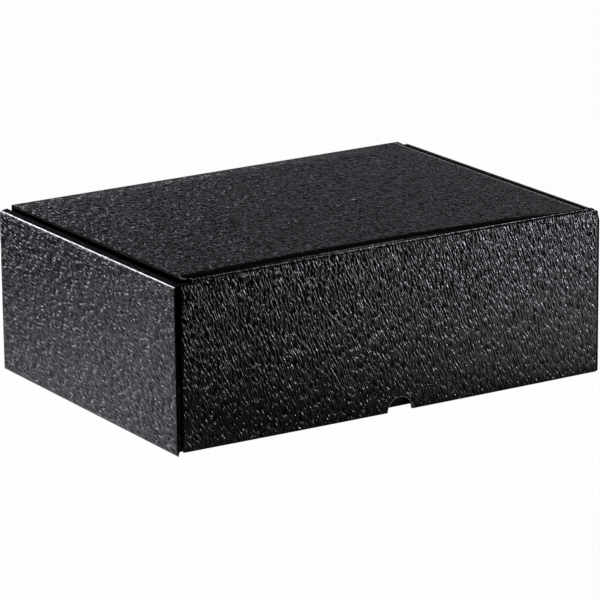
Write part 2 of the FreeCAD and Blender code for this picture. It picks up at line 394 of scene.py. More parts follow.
def build_board(name, section, loops, place, flat, step, back_step, flutes="across", emboss=None, wear_and_painted_light=None):
    """One closed board. Loops are (station, across, kind) corners: the first anticlockwise, holes clockwise.

    place(a, b, across) puts a point of the section in the box, and flat(station, across) on the sheet.
    emboss(station, gap) gives the strength of the grain, and the last one (station, across, gap) gives the
    rubbing together with painted shade (below zero) and painted highlights, where gap is the distance to the
    nearest cut edge.
    """
    bends = section.outer.at[1:-1]
    rings = [sample_loop(loop, bends) for loop in loops]
    edge_points = np.concatenate([ring[0] for ring in rings])
    joints = np.concatenate([ring[1] for ring in rings])
    inwards = np.concatenate([inward_normals(ring[0]) for ring in rings])
    starts = np.cumsum([0] + [len(ring[0]) for ring in rings])
    edges = []
    for first, end in zip(starts, starts[1:]):
        edges += [(index, index + 1 if index + 1 < end else first) for index in range(first, end)]

    across_flutes = edge_points[:, 0 if flutes == "across" else 1]
    recess = np.where(joints, JOINT_RECESS, EDGE_RECESS)
    levels = board_levels(across_flutes, recess)
    count = len(edge_points)
    face_spots = lattice(loops, step, bends)
    back_spots = lattice(loops, back_step, bends)
    spots = [edge_points + inwards * level[0][:, None] for level in levels] + [face_spots, back_spots]
    depths = [level[1] for level in levels] + [np.zeros(len(face_spots)), np.full(len(back_spots), BOARD)]
    spots, depths = np.concatenate(spots), np.concatenate(depths)

    last = len(levels) - 1
    after_edges = count * len(levels)
    ring_index = np.arange(count)
    face_index = np.concatenate([ring_index, after_edges + np.arange(len(face_spots))])
    back_index = np.concatenate([
        last * count + ring_index, after_edges + len(face_spots) + np.arange(len(back_spots)),
    ])
    face = face_index[triangulate(np.concatenate([edge_points, face_spots]), edges, loops)]
    back = back_index[triangulate(np.concatenate([edge_points, back_spots]), edges, loops)][:, ::-1]
    polygons = face.tolist() + back.tolist()
    materials = [LEATHER] * len(face) + [LINING] * len(back)
    for level in range(last):
        shade = CUT_PAPER if level in (0, last - 1) else CUT_CORE
        for a, b in edges:
            upper, lower = level * count, (level + 1) * count
            polygons.append((upper + a, lower + a, lower + b, upper + b))
            materials.append(shade)

    station, across = spots[:, 0], spots[:, 1]
    ab = section.point(station, depths)
    points = place(ab[:, 0], ab[:, 1], across)
    mesh = bpy.data.meshes.new(name)
    mesh.from_pydata(points.tolist(), [], polygons)
    mesh.polygons.foreach_set("material_index", materials)
    gap = side_distance(spots, loops, ("cut",))
    on_face = depths == 0
    sheet = columns(*flat(station, across), np.zeros(len(spots)))
    add_attribute(mesh, "flat", "FLOAT_VECTOR", sheet)
    grain = emboss(station, gap) if emboss else np.clip(gap / (1.5 * MM), 0, 1)
    # Rubbing values, with painted shade below zero and painted highlights among them.
    rub = wear_and_painted_light(station, across, gap) if wear_and_painted_light else np.zeros(len(spots))
    add_attribute(mesh, "emboss", "FLOAT", grain * on_face)
    add_attribute(mesh, "wear_and_painted_light", "FLOAT", rub * on_face)
    fix_normals(mesh)
    mesh.shade_smooth()
    mesh.set_sharp_from_angle(angle=SHARP_ANGLE)
    for material in (leather, lining, cut_paper, cut_core):
        mesh.materials.append(material)
    return new_object(name, mesh)


def add_attribute(mesh, name, kind, values):
    layer = mesh.attributes.new(name, kind, "POINT")
    layer.data.foreach_set("vector" if kind == "FLOAT_VECTOR" else "value", values.astype(np.float32).ravel())


def fix_normals(mesh):
    """Turn every face outwards by the sign of the closed mesh's volume."""
    mesh.calc_loop_triangles()
    count = len(mesh.loop_triangles)
    corners = np.empty(count * 3, np.int32)
    mesh.loop_triangles.foreach_get("vertices", corners)
    points = np.empty(len(mesh.vertices) * 3, np.float32)
    mesh.vertices.foreach_get("co", points)
    a, b, c = points.reshape(-1, 3)[corners.reshape(-1, 3)].astype(float).transpose(1, 0, 2)
    if np.einsum("ij,ij->", a, np.cross(b, c)) < 0:
        mesh.flip_normals()


# ---- folds, bow and crown

LID_HALF = LID_HIGH.x
FLAP_HALF = FLAP_HIGH.x
FLAP_FACE = FLAP_LOW.y
HINGE_HEIGHT = LID_HIGH.z
BACK_FACE = BACK_HIGH.y

FLAP_RIGHT = OUTER_LOW.x - 0.3 * MM

# How the boards are bowed, crowned and crushed.
BOW_LEFT = 1.7 * MM
BOW_RIGHT = -3.9 * MM
BOW_BULGE = 1.1 * MM
BOW_START = -60 * MM
BOW_RUN = 50 * MM
CROWN_BACK = 1.5 * MM
CROWN_FRONT = 2.8 * MM
RISE_LEFT = 1.2 * MM
CROWN_START = 18 * MM
CREST_LEFT = 0.05 * MM
CREST_RIGHT = 1.2 * MM
CREST_MIDDLE = 0.58 * MM
RIGHT_DROOP = 0.5 * MM
EDGE_BAND = 3.0 * MM
EDGE_CRUSH = 0.35 * MM
DROOP_WIDTH = 40 * MM
SHOULDER_LENGTH = 3.0 * MM
SHOULDER_FOOT = 1.5 * MM
SHOULDER_POWER = 1.5
PRESS_CLEARANCE = 0.2 * MM
PRESS_START = -90 * MM
PRESS_RUN = 15 * MM
PRESS_FADE = 5 * MM
BASE_LIFT = 1.5 * MM
LIFT_HEIGHT = 40 * MM


def smooth(value):
    value = np.clip(value, 0, 1)
    return value * value * (3 - 2 * value)


def bell(distance, width):
    """1 at no distance, falling smoothly to both sides."""
    return np.exp(-(distance / width) ** 2)


def arch(x):
    """1 in the middle of the box, 0 at the lid's ends."""
    return 1 - (x / LID_HALF) ** 2


def slope(x, left, right):
    """A straight change from the flap's left end to its right end."""
    return left + (right - left) * (x + FLAP_HALF) / (2 * FLAP_HALF)


def bow(x):
    """How far the flap's face is pushed back at x: its left end is tucked in, its right end springs out."""
    return slope(x, BOW_LEFT, BOW_RIGHT) - BOW_BULGE * arch(x)


def crest(x):
    """How far the front crease is lifted at x."""
    return slope(x, CREST_LEFT, CREST_RIGHT) + CREST_MIDDLE * arch(x)


def crown(x, y):
    """How far the lid is lifted, with the shoulder that falls to the front crease."""
    forward = (BACK_FACE - y) / (BACK_FACE - FLAP_FACE)
    start = smooth((LID_HIGH.y - y) / CROWN_START)
    droop = RIGHT_DROOP * smooth((x - LID_HALF + DROOP_WIDTH) / DROOP_WIDTH)
    droop = droop + EDGE_CRUSH * smooth((x - LID_HALF + EDGE_BAND) / EDGE_BAND)
    left = RISE_LEFT * forward * (LID_HALF - x) / (2 * LID_HALF)
    rise = start * (arch(x) * (CROWN_BACK + (CROWN_FRONT - CROWN_BACK) * forward) + left - droop)
    behind = np.maximum(y - FLAP_FACE - SHOULDER_FOOT, 0)
    return rise + (crest(x) - rise) * np.exp(-(behind / SHOULDER_LENGTH) ** SHOULDER_POWER)


def swell(points):
    """Bow the flap and crown the lid, as soft board that has been closed many times."""
    x, y, z = points.T
    near_front = smooth((BOW_START - y) / BOW_RUN)
    y_new = y + bow(x) * near_front
    z_new = z + crown(x, y) * np.clip(z / HINGE_HEIGHT, 0, 1)
    return columns(x, y_new, z_new)


def press(points):
    """Push the front wall in where the flap bears on it, and lift the middle of its rounded foot."""
    x, y, z = points.T
    inner_face = FLAP_HIGH.y + bow(x) + PRESS_CLEARANCE
    push = np.maximum(inner_face - FRONT_LOW.y, 0) * smooth((FRONT_TAB_HIGH.x - abs(x)) / PRESS_FADE)
    front = smooth((PRESS_START - y) / PRESS_RUN)
    y, z = round_under(y, z)
    lift = BASE_LIFT * arch(x) * front * (1 - smooth(z / LIFT_HEIGHT))
    return columns(x, y + push * front, z + lift)


def round_under(y, z):
    """Turn the square fold between the base and the front wall into an arc."""
    ahead, below = y - FRONT_LOW.y - UNDER_RADIUS, z - UNDER_RADIUS
    square = np.maximum(-ahead, -below)
    share = np.where((ahead < 0) & (below < 0), square / np.maximum(np.hypot(ahead, below), 0.01 * MM), 1)
    return y + ahead * (share - 1), z + below * (share - 1)


# ---- the boards

SHEET_BACK = BACK_FACE
SHEET_LID = SHEET_BACK + HINGE_HEIGHT
SHEET_FLAP = SHEET_LID + BACK_FACE - FLAP_FACE


def cut(*corners):
    """Corners of a loop whose sides are cut edges."""
    return [(station, across, "cut") for station, across in corners]


def rectangle(s0, w0, s1, w1):
    return cut((s0, w0), (s1, w0), (s1, w1), (s0, w1))


def lid_strip(length):
    """A strip between two joints, as wide as the lid."""
    return [
        (0, -LID_HALF, "cut"), (length, -LID_HALF, "joint"),
        (length, LID_HALF, "cut"), (0, LID_HALF, "joint"),
    ]


def tabbed_wall(face, low, high, tab_end, half, top, top_kind):
    """Section and outline of a wall with corner tabs. low and high are one tab's extent."""
    reach = high.x if tab_end > face else -high.x
    section = Section([(-reach, tab_end), (-reach, face), (reach, face), (reach, tab_end)])
    right, middle = section.creases[1], section.length / 2
    right_half = [
        (right - 1 * MM, 0), (right + BOARD, low.z), (section.length, low.z + CORNER_TAB_SLOPE),
        (section.length, high.z - CORNER_TAB_SLOPE), (right + BOARD, high.z), (middle + half, high.z),
    ]
    left_half = [(2 * middle - s, w) for s, w in reversed(right_half)]
    outline = cut(*right_half) + [(middle + half, top, top_kind)] + cut((middle - half, top), *left_half)
    return section, outline


def grain_of(section, calm=None, reach=2.5 * MM, full=1.0):
    """Grain that fades at cut edges and creases. calm is (from, to, share) for a smoother zone."""
    def emboss(station, gap):
        strength = full * np.clip(gap / EDGE_FADE, EDGE_GRAIN, 1)
        for crease in section.creases:
            strength *= np.clip(np.abs(station - crease) / reach, CREASE_GRAIN, 1)
        if calm:
            strength *= np.where((station > calm[0]) & (station < calm[1]), calm[2], 1)
        return strength
    return emboss


def wear_of(section, strengths, edge=0.5, width=0.9 * MM):
    """Rubbing along the cut edges and along each crease."""
    def wear_and_painted_light(station, across, gap):
        rub = edge * bell(gap, EDGE_RUB_WIDTH)
        for crease, strength in zip(section.creases, strengths):
            rub = np.maximum(rub, strength * bell(station - crease, width))
        return rub
    return wear_and_painted_light


def mitre(height, top, depth):
    """How far a point at a depth is drawn down, for a top end that is cut at 45 degrees to meet a crease."""
    return np.clip(depth, 0, BOARD) * smooth((height - top + MITRE_REACH) / MITRE_REACH)


def base_board():
    """The bottom, with slots for the lock tabs."""
    section = Section([(BASE_LOW.x, BASE_LOW.z), (BASE_HIGH.x, BASE_LOW.z)])
    middle = section.length / 2
    loops = [rectangle(0, BASE_LOW.y, section.length, BASE_HIGH.y)]
    near, far = INNER_LOW.x - FOLD_PLAY, INNER_HIGH.x + FOLD_PLAY
    for side in (-1, 1):
        for end in (-1, 1):
            s = sorted((middle + side * near, middle + side * far))
            centre = end * LOCK_SPACING / 2
            half = LOCK_LENGTH / 2 + FOLD_PLAY
            loops.append(rectangle(s[0], centre - half, s[1], centre + half)[::-1])
    return build_board(
        "base_board", section, loops,
        place=lambda a, b, w: press(columns(a, w, b)),
        flat=lambda s, w: (s - middle, w),
        step=2.5 * MM, back_step=4 * MM,
    )


def side_board(side):
    """One side's outer wall, rim and inner wall: a single strip folded over."""
    name = "right" if side > 0 else "left"
    corners = [
        (OUTER_LOW.x + SIDE_GAP, 0), (OUTER_HIGH.x, 0), (OUTER_HIGH.x, RIM_HIGH.z),
        (RIM_LOW.x, RIM_HIGH.z + RIM_RISE * (side < 0)), (INNER_LOW.x, INNER_LOW.z),
    ]
    section = Section(corners, slants=(-SIDE_GAP, 0), radius=SIDE_RADIUS)
    _, outer_top, inner_top = section.creases
    foot = section.length - (BOARD + FOLD_PLAY - INNER_LOW.z)
    inner_start = inner_top + BOARD * 0.7
    corner = [(inner_start, OUTER_LOW.y)]
    if side > 0:
        corner = [
            (outer_top - WORN_START, OUTER_LOW.y), (outer_top - WORN_TURN, OUTER_LOW.y + WORN_DEPTH),
            (inner_start, OUTER_LOW.y + WORN_TOP),
        ]
    locks = []
    for centre in (-LOCK_SPACING / 2, LOCK_SPACING / 2):
        near, far = centre - LOCK_LENGTH / 2, centre + LOCK_LENGTH / 2
        locks += [(foot, near), (section.length, near), (section.length, far), (foot, far)]
    loop = cut(
        (0, OUTER_LOW.y), *corner, (inner_start, INNER_LOW.y), (foot, INNER_LOW.y), *locks,
        (foot, INNER_HIGH.y), (inner_start, INNER_HIGH.y), (inner_start, RIM_HIGH.y), (outer_top, RIM_HIGH.y),
        (outer_top, OUTER_HIGH.y), (0, OUTER_HIGH.y),
    )

    def side_flat(s, w):
        """The side's place on the sheet, turned because the grain differs from panel to panel."""
        x, y = side * (OUTER_HIGH.x + s), w
        cos, sin = math.cos(SIDE_GRAIN_TURN), math.sin(SIDE_GRAIN_TURN)
        return x * cos - y * sin, x * sin + y * cos

    # On the left the rim's crease is also a painted highlight.
    rim_rub_and_highlight = LEFT_RIM_RUB_AND_HIGHLIGHT if side < 0 else RIGHT_RIM_RUB
    rub = wear_of(section, (FOOT_RUB, rim_rub_and_highlight, INNER_RUB), edge=SIDE_EDGE_RUB, width=0.5 * MM)

    def side_wear_and_painted_light(station, across, gap):
        """Rubbing at the folds and edges, a painted highlight along the left rim's crease, and a line of
        painted shade below the outer top crease; the right rim is all painted shade, black without shine.
        """
        on_rim = (station > outer_top - RIM_MARGIN) & (station < inner_start)
        # Painted shade: a dark line just below the outer top crease.
        under = UNDER_RIM_PAINTED_SHADE * bell(station - outer_top + UNDER_RIM_DROP, UNDER_RIM_WIDTH)
        rubbed_and_painted_light = rub(station, across, gap) - under
        # Painted shade: the right rim is black without shine.
        return np.where(on_rim & (side > 0), RIM_PAINTED_SHADE, rubbed_and_painted_light)

    return build_board(
        name + "_side_board", section, [loop],
        place=lambda a, b, w: columns(side * a, w, b),
        flat=side_flat,
        step=1.0 * MM, back_step=3 * MM,
        emboss=grain_of(section, calm=(outer_top, inner_top, RIM_GRAIN), full=SIDE_GRAIN),
        wear_and_painted_light=side_wear_and_painted_light,
    )


def front_wall_board():
    """The front wall with its two corner tabs folded back."""
    low, high, ear_entry = FRONT_TAB_LOW, FRONT_TAB_HIGH, EAR_LOW.x - FOLD_PLAY
    section, outline = tabbed_wall(FRONT_LOW.y, low, high, high.y, ear_entry, FRONT_HIGH.z, "cut")
    middle = section.length / 2
    return build_board(
        "front_wall_board", section, [outline],
        place=lambda a, b, w: press(columns(a, b, w)),
        flat=lambda s, w: (s - middle, FRONT_LOW.y - w),
        step=1.6 * MM, back_step=3 * MM,
        emboss=grain_of(section), wear_and_painted_light=wear_of(section, (WALL_RUB, WALL_RUB)),
    )


def back_wall_board():
    """The back wall with its two corner tabs. Its top end is mitred to the back crease."""
    low, high, top = BACK_TAB_LOW, BACK_TAB_HIGH, HINGE_HEIGHT - BACK_CREASE_REACH
    section, outline = tabbed_wall(BACK_FACE, low, high, low.y, LID_HALF, top, "joint")
    middle = section.length / 2

    def place(a, b, w):
        depth = (BACK_FACE - b) * (abs(a) < LID_HALF + MITRE_MARGIN)
        return columns(a, b, w - mitre(w, top, depth))

    return build_board(
        "back_wall_board", section, [outline], place,
        flat=lambda s, w: (middle - s, SHEET_BACK + w),
        step=1.3 * MM, back_step=3 * MM,
        emboss=grain_of(section), wear_and_painted_light=wear_of(section, (WALL_RUB, WALL_RUB)),
    )


def back_crease():
    """The strip that bends between the back wall and the lid."""
    start = HINGE_HEIGHT - BACK_CREASE_REACH
    end = BACK_FACE - BACK_CREASE_REACH
    corners = [(BACK_FACE, start), (BACK_FACE, HINGE_HEIGHT), (end, HINGE_HEIGHT)]
    section = Section(corners, slants=(BOARD, BOARD))
    piece = build_board(
        "back_crease", section, [lid_strip(section.length)],
        place=lambda a, b, w: columns(w, a, b),
        flat=lambda s, w: (w, SHEET_BACK + start + s / section.length * 2 * BACK_CREASE_REACH),
        step=0.8 * MM, back_step=0.8 * MM, flutes="along",
        emboss=grain_of(section, reach=BACK_CREASE_REACH), wear_and_painted_light=wear_of(section, (BACK_RUB,)),
    )
    emboss_board(piece)
    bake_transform(piece)
    return piece


def lid_board():
    """The lid between its two creases."""
    start = BACK_FACE - BACK_CREASE_REACH
    end = FLAP_FACE + SHOULDER_REACH
    section = Section([(start, HINGE_HEIGHT), (end, HINGE_HEIGHT)], slants=(-BOARD, 0))
    rub = wear_of(section, ())

    def lid_wear_and_painted_light(station, across, gap):
        """Rubbing at the cut edges, and on the right a crushed band painted as shade, black without shine,
        with a pale line of painted highlight along it.
        """
        into_band = across - LID_HALF + EDGE_BAND
        # Painted shade across the crushed band, and a painted highlight line in it.
        band = smooth(into_band / BAND_FADE)
        line = PAINTED_EDGE_HIGHLIGHT * bell(into_band, PAINTED_EDGE_HIGHLIGHT_WIDTH)
        return np.where(line > PAINTED_EDGE_HIGHLIGHT_END, line, rub(station, across, gap) * (1 - band) - band)

    return build_board(
        "lid_board", section, [lid_strip(section.length)],
        place=lambda a, b, w: swell(columns(w, a, b)),
        flat=lambda s, w: (w, SHEET_LID + BACK_CREASE_REACH + s),
        step=1.08 * MM, back_step=4 * MM, flutes="along",
        emboss=grain_of(section, full=LID_GRAIN), wear_and_painted_light=lid_wear_and_painted_light,
    )


def flap_crease():
    """The strip round the front crease: a pressed shoulder, a sharp groove and the flap's rolled top edge."""
    start = FLAP_FACE + SHOULDER_REACH
    end = HINGE_HEIGHT - FLAP_CREASE_REACH
    legs = SHOULDER_REACH + FLAP_CREASE_REACH
    corners = [(start, HINGE_HEIGHT), (FLAP_FACE, HINGE_HEIGHT), (FLAP_FACE, end)]
    section = Section(corners, slants=(0, BOARD), radius=ROLL_RADIUS)
    corner = section.creases[0]
    left, right = FLAP_HALF - LEFT_RELIEF, FLAP_RIGHT - RIGHT_RELIEF
    loop = [
        *cut((0, -LID_HALF), (corner * LEFT_CUT_FROM, -LID_HALF), (corner * LEFT_CUT_TO, -left)),
        (section.length, -left, "joint"),
        *cut((section.length, right), (corner, (LID_HALF + right) / 2), (corner * RIGHT_CUT_FROM, LID_HALF)),
        (0, LID_HALF, "joint"),
    ]

    def place(a, b, w):
        points = swell(columns(w, a, b))
        groove = bell(a - FLAP_FACE - GROOVE_PLACE, GROOVE_WIDTH)
        points[:, 2] -= GROOVE_DEPTH * groove * (b > HINGE_HEIGHT - GROOVE_TOP)
        return points

    def emboss(station, gap):
        """Full grain up to the shoulder and again over the roll."""
        shoulder = 1 - smooth(station / SHOULDER_FADE) * (1 - SHOULDER_GRAIN)
        roll = smooth((station - corner - ROLL_START) / ROLL_FADE)
        return np.clip(gap / SHOULDER_FADE, ROLL_EDGE_GRAIN, 1) * np.maximum(shoulder, roll)

    def wear_and_painted_light(station, across, gap):
        """Painted shade: a dark shoulder without shine that ends in a darker painted line before the roll;
        and rubbing at the cut edges.
        """
        painted_shade_line = corner - PAINTED_LINE_DROP
        painted_shade = SHOULDER_PAINTED_SHADE * smooth(station / SHOULDER_PAINTED_SHADE_FADE) * (station < painted_shade_line)
        painted_shade = np.maximum(painted_shade, bell(station - painted_shade_line, PAINTED_LINE_WIDTH))
        edge = np.where(across < 0, LEFT_CUT_RUB, RIGHT_CUT_RUB) * bell(gap, EDGE_RUB_WIDTH)
        return np.where(gap < EDGE_RUB_WIDTH, edge, -painted_shade)

    piece = build_board(
        "flap_crease", section, [loop], place,
        flat=lambda s, w: (w, SHEET_FLAP - SHOULDER_REACH + s / section.length * legs),
        step=0.5 * MM, back_step=0.9 * MM, flutes="along",
        emboss=emboss, wear_and_painted_light=wear_and_painted_light,
    )
    emboss_board(piece)
    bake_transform(piece)
    return piece


def flap_board():
    """The front flap with its relief cuts, thumb notch and the two ears folded back from it."""
    ends, face = EAR_HIGH.y, FLAP_FACE
    corners = [(-FLAP_HALF, ends), (-FLAP_HALF, face), (FLAP_RIGHT, face), (FLAP_RIGHT, ends)]
    section = Section(corners, radius=EAR_RADIUS)
    left, right = section.creases
    centre = section.outer.station(np.array((0, FLAP_FACE)))
    foot, top = FLAP_LOW.z, HINGE_HEIGHT - FLAP_CREASE_REACH
    left_top, right_top = centre - FLAP_HALF + LEFT_RELIEF, centre + FLAP_RIGHT - RIGHT_RELIEF

    def ear(fold, way, end):
        """Outline of one ear from its foot to its head, way pointing to its free end."""
        return cut(
            (fold, EAR_LOW.z), (fold + way * EAR_FOOT_LENGTH, EAR_LOW.z), (end, EAR_LOW.z + EAR_END_RISE),
            (end, EAR_HIGH.z - EAR_SLOPE), (fold, EAR_HIGH.z),
        )

    notch_middle = centre + NOTCH_SHIFT
    notch = []
    for step in range(NOTCH_STEPS + 1):
        turn = math.pi * step / NOTCH_STEPS
        aside, up = NOTCH_RADIUS * math.cos(turn), NOTCH_RADIUS * math.sin(turn)
        notch.append((notch_middle - aside, foot + up))
    outline = cut((left, foot), *notch, (right, foot)) + ear(right, 1, section.length)
    outline += cut((right, top - RIGHT_RELIEF), (right - 0.7 * RIGHT_RELIEF, top - 0.7 * MM))
    outline += [(right_top, top, "joint"), *cut((left_top, top), (left, top))]
    outline += ear(left, -1, 0)[::-1]

    def place(a, b, w):
        from_left = LEFT_RELIEF - FLAP_HALF - MITRE_MARGIN
        to_right = FLAP_RIGHT - RIGHT_RELIEF + MITRE_MARGIN
        depth = (b - FLAP_FACE) * ((a > from_left) & (a < to_right))
        return swell(columns(a, b, w - mitre(w, top, depth)))

    rub = wear_of(section, (FLAP_RUB, FLAP_RUB))

    def wear_and_painted_light(station, across, gap):
        """Rubbed edges and folds, and pale fibres round the thumb notch."""
        from_rim = np.hypot(station - notch_middle, across - foot) - NOTCH_RADIUS
        return np.maximum(rub(station, across, gap), NOTCH_RUB * bell(from_rim, NOTCH_RUB_WIDTH))

    return build_board(
        "flap_board", section, [outline], place,
        flat=lambda s, w: (s - centre, SHEET_FLAP + HINGE_HEIGHT - w),
        step=0.85 * MM, back_step=4 * MM,
        emboss=grain_of(section, reach=1.0 * MM), wear_and_painted_light=wear_and_painted_light,
    )


# ---- materials


def link(tree, source, target):
    tree.links.new(source, target)


def feed(tree, sockets, values):
    """Link each value that is another node's output, and set each that is a plain value."""
    for socket, value in zip(sockets, values):
        if hasattr(value, "is_output"):
            link(tree, value, socket)
        else:
            socket.default_value = value


def add_node(tree, kind, *inputs):
    node = tree.nodes.new(kind)
    feed(tree, node.inputs, inputs)
    return node


def math_node(tree, operation, *inputs):
    node = add_node(tree, "ShaderNodeMath", *inputs)
    node.operation = operation
    return node.outputs[0]


def times(tree, first, second):
    return math_node(tree, "MULTIPLY", first, second)


def vector_node(tree, operation, *inputs):
    node = add_node(tree, "ShaderNodeVectorMath", *inputs)
    node.operation = operation
    return node.outputs[0]


def noise_node(tree, place, size, detail=1.0, roughness=0.5):
    node = tree.nodes.new("ShaderNodeTexNoise")
    node.inputs["Scale"].default_value = 1 / size
    node.inputs["Detail"].default_value = detail
    node.inputs["Roughness"].default_value = roughness
    link(tree, place, node.inputs["Vector"])
    return node.outputs[0]


def ramp_node(tree, value, low, high, to_low=0.0, to_high=1.0, curve="SMOOTHSTEP"):
    node = add_node(tree, "ShaderNodeMapRange", value, low, high, to_low, to_high)
    node.interpolation_type = curve
    return node.outputs[0]


def mix_color(tree, share, first, second):
    """Two colours mixed, each a node's output or a plain (red, green, blue)."""
    node = add_node(tree, "ShaderNodeMix")
    node.data_type = "RGBA"
    colours = [colour if hasattr(colour, "is_output") else (*colour, 1) for colour in (first, second)]
    sockets = [socket for socket in node.inputs if socket.type == "RGBA"]
    feed(tree, [node.inputs[0], *sockets], [share, *colours])
    return next(socket for socket in node.outputs if socket.type == "RGBA")


# The embossed grain: long wrinkles in one direction that wander a little, with small pits over them.
GRAIN_ANGLE = math.radians(70)
WRINKLE_LONG, WRINKLE_SHORT, WRINKLE_ROUGHNESS = 5.4 * MM, 1.15 * MM, 0.35
RIDGE_LOW, RIDGE_HIGH = 0.32, 0.68
DRIFT_SIZE, DRIFT_REACH = 11 * MM, 1.5 * MM
PIT_SIZE, PIT_SHARE = 0.9 * MM, 0.12
GRAIN_DEPTH = 0.10 * MM


def grain_height(tree, flat):
    """Height of the embossed wrinkles, 0 to 1, for a shader tree or a geometry tree."""
    drift = noise_node(tree, flat, DRIFT_SIZE).node.outputs["Color"]
    shift = vector_node(tree, "SCALE", vector_node(tree, "SUBTRACT", drift, (0.5, 0.5, 0.5)))
    shift.node.inputs["Scale"].default_value = DRIFT_REACH
    turn = tree.nodes.new("ShaderNodeVectorRotate")
    turn.rotation_type = "Z_AXIS"
    turn.inputs["Angle"].default_value = -GRAIN_ANGLE
    link(tree, vector_node(tree, "ADD", flat, shift), turn.inputs["Vector"])
    stretched = vector_node(tree, "MULTIPLY", turn.outputs[0], (1 / WRINKLE_LONG, 1 / WRINKLE_SHORT, 1))
    wrinkles = noise_node(tree, stretched, 1.0, roughness=WRINKLE_ROUGHNESS)
    ridges = ramp_node(tree, wrinkles, RIDGE_LOW, RIDGE_HIGH, 0.0, 1.0 - PIT_SHARE)
    pits = noise_node(tree, flat, PIT_SIZE)
    return math_node(tree, "MULTIPLY_ADD", pits, PIT_SHARE, ridges)


def stored_values(tree, kind, name):
    """A mesh attribute inside geometry nodes."""
    node = tree.nodes.new("GeometryNodeInputNamedAttribute")
    node.data_type = kind
    node.inputs["Name"].default_value = name
    return node.outputs[0]


def make_emboss_group():
    """Geometry nodes that raise the face paper by the grain."""
    tree = bpy.data.node_groups.new("emboss", "GeometryNodeTree")
    for way in ("INPUT", "OUTPUT"):
        tree.interface.new_socket("Geometry", in_out=way, socket_type="NodeSocketGeometry")
    grain = grain_height(tree, stored_values(tree, "FLOAT_VECTOR", "flat"))
    height = times(tree, grain, stored_values(tree, "FLOAT", "emboss"))
    offset = vector_node(tree, "SCALE", add_node(tree, "GeometryNodeInputNormal").outputs[0])
    link(tree, times(tree, height, GRAIN_DEPTH), offset.node.inputs["Scale"])
    move = add_node(tree, "GeometryNodeSetPosition", add_node(tree, "NodeGroupInput").outputs[0])
    link(tree, offset, move.inputs["Offset"])
    add_node(tree, "NodeGroupOutput", move.outputs[0])
    return tree


def emboss_board(piece):
    """Raise a board's grain and keep the result as its mesh."""
    modifier = piece.modifiers.new("emboss", "NODES")
    modifier.node_group = emboss_group
    graph = bpy.context.evaluated_depsgraph_get()
    embossed = bpy.data.meshes.new_from_object(piece.evaluated_get(graph), depsgraph=graph)
    piece.modifiers.clear()
    plain, piece.data = piece.data, embossed
    bpy.data.meshes.remove(plain)
    embossed.name = piece.name


def new_material(name):
    material = bpy.data.materials.new(name)
    material.use_nodes = True
    tree = material.node_tree
    return material, tree, tree.nodes["Principled BSDF"]


def dress(tree, shader, colour, roughness, shine, normal):
    sockets = [shader.inputs[name] for name in ("Base Color", "Roughness", "Specular IOR Level", "Normal")]
    feed(tree, sockets, (colour, roughness, shine, normal))


def attribute_node(tree, name, output="Fac"):
    node = tree.nodes.new("ShaderNodeAttribute")
    node.attribute_name = name
    return node.outputs[output]


def bump_node(tree, height, distance, normal=None):
    node = tree.nodes.new("ShaderNodeBump")
    node.inputs["Strength"].default_value = 1.0
    node.inputs["Distance"].default_value = distance
    link(tree, height, node.inputs["Height"])
    if normal:
        link(tree, normal, node.inputs["Normal"])
    return node.outputs[0]


# Face paper: ink in two tones; a darker ink painted as shade in the grain's valleys; a near-black ink painted
# as shade where the rubbing values go below zero; pale fibres for rubbing, also used as painted highlights.
INK_DARK, INK_LIGHT = (0.0050, 0.0047, 0.0060), (0.0080, 0.0075, 0.0094)
INK_VALLEY_SHADE, INK_PAINTED_SHADE, BARE_FIBRES_AND_PAINTED_HIGHLIGHT = (0.002, 0.002, 0.0025), (0.0008, 0.0008, 0.0008), (0.72, 0.74, 0.70)
LEAST_GRAIN, GRAIN_BUMP, FIBRE_BUMP = 0.1, 0.38 * MM, 0.012 * MM
FIBRE_SIZE, SPECK_SIZE, CLOUD_SIZE = 0.35 * MM, 0.8 * MM, 40 * MM
WORN_FROM, WORN_TO, SPECK_SHARE = 0.75, 1.25, 0.5
COAT_ROUGHNESS, FIBRE_ROUGHNESS, RIDGE_POLISH, WORN_ROUGHNESS = 0.16, 0.10, -0.08, 0.2
# Shine of the grain's valleys, kept low as painted shade, and of its ridges.
VALLEY_SHINE, RIDGE_SHINE = 0.12, 0.75


